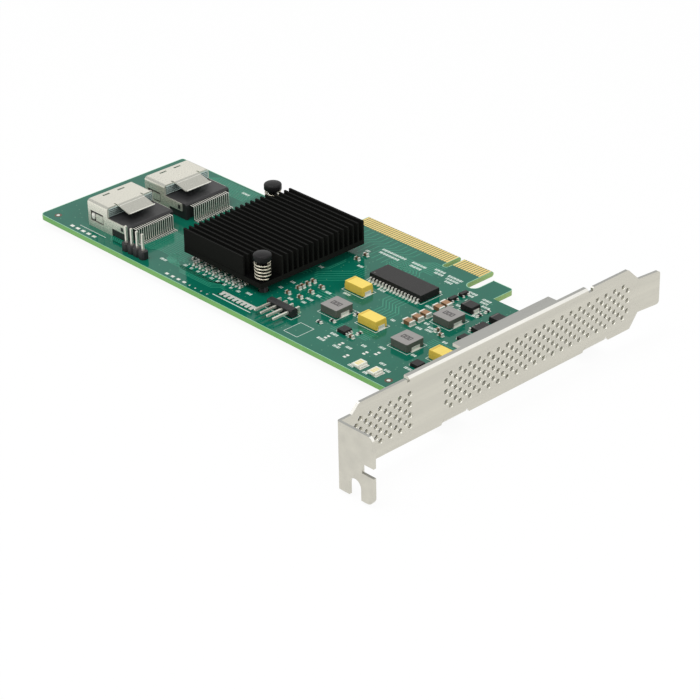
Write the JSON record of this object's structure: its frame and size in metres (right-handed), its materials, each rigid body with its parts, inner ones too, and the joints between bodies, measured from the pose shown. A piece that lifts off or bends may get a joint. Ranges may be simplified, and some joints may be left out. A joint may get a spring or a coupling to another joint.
{
  "type": "sata controller card",
  "caption": "Long, low circuit card with edge contacts, a black finned heat sink, metal-shelled cable ports at one end and a tall vented slot bracket at the other.",
  "frame": {"origin": "middle of the key notch, on the outer edge of the contact tongue and on the board's component side", "axes": "+X along the card towards the bracket, +Y towards the gold edge contacts, +Z out of the component side"},
  "size_m": [0.1867, 0.12, 0.0227],
  "materials": {
    "black_anodised": "black anodised extrusion",
    "black_housing": "glass-filled moulding",
    "black_package": "moulded epoxy package",
    "bracket_steel": "plated sheet steel",
    "cage_metal": "tin-plated folded sheet",
    "ceramic_brown": "brown ceramic",
    "chip_capacitor": "tan ceramic chip",
    "chip_resistor": "black-glazed chip",
    "ferrite": "dark ferrite",
    "gold": "gold-plated contact",
    "header_pin": "tinned pin",
    "header_plastic": "moulded header",
    "lamp_resin": "pale lamp resin",
    "package_lid": "plain metal lid",
    "package_substrate": "green package substrate",
    "push_pin_plastic": "moulded nylon",
    "screw_steel": "zinc-plated steel",
    "solder_mask": "glossy green solder mask",
    "spring_wire": "bright spring wire",
    "tantalum_yellow": "yellow moulded case",
    "thermal_pad": "soft thermal pad",
    "tinned_leads": "tinned copper"
  },
  "bodies": {
    "root": {"angled_header_base": "header_plastic", "angled_header_pins": "header_pin", "array_capacitors": "chip_capacitor", "bracket": "bracket_steel", "bracket_screws": "screw_steel", "ceramic_capacitor_1": "ceramic_brown", "ceramic_capacitor_2": "ceramic_brown", "ceramic_capacitor_3": "ceramic_brown", "ceramic_capacitor_4": "ceramic_brown", "ceramic_capacitor_5": "ceramic_brown", "ceramic_capacitor_ends": "tinned_leads", "chip_capacitors": "chip_capacitor", "chip_resistors": "chip_resistor", "circuit_board": "solder_mask", "controller_lid": "package_lid", "controller_substrate": "package_substrate", "edge_contacts_bottom": "gold", "edge_contacts_top": "gold", "heat_sink": "black_anodised", "inductor_1": "ferrite", "inductor_2": "ferrite", "inductor_3": "ferrite", "inductor_terminals": "tinned_leads", "memory_chip": "black_package", "memory_chip_leads": "tinned_leads", "pin_spring_far": "spring_wire", "pin_spring_near": "spring_wire", "port_cage_far": "cage_metal", "port_cage_near": "cage_metal", "port_housing_far": "black_housing", "port_housing_near": "black_housing", "port_leads_far": "tinned_leads", "port_leads_near": "tinned_leads", "power_diode_1": "black_package", "power_diode_2": "black_package", "power_diode_terminals": "tinned_leads", "push_pin_far": "push_pin_plastic", "push_pin_near": "push_pin_plastic", "regulator_chip": "black_package", "regulator_chip_leads": "tinned_leads", "small_chip_1": "black_package", "small_chip_2": "black_package", "small_chip_3": "black_package", "small_chip_leads": "tinned_leads", "status_led_1": "lamp_resin", "status_led_2": "lamp_resin", "status_led_terminals": "tinned_leads", "tantalum_capacitor_1": "tantalum_yellow", "tantalum_capacitor_2": "tantalum_yellow", "tantalum_capacitor_3": "tantalum_yellow", "tantalum_terminals": "tinned_leads", "thermal_pad": "thermal_pad", "transistor_1": "black_package", "transistor_2": "black_package", "transistor_leads": "tinned_leads", "upright_header_base": "header_plastic", "upright_header_pins": "header_pin"}
  },
  "joints": []
}
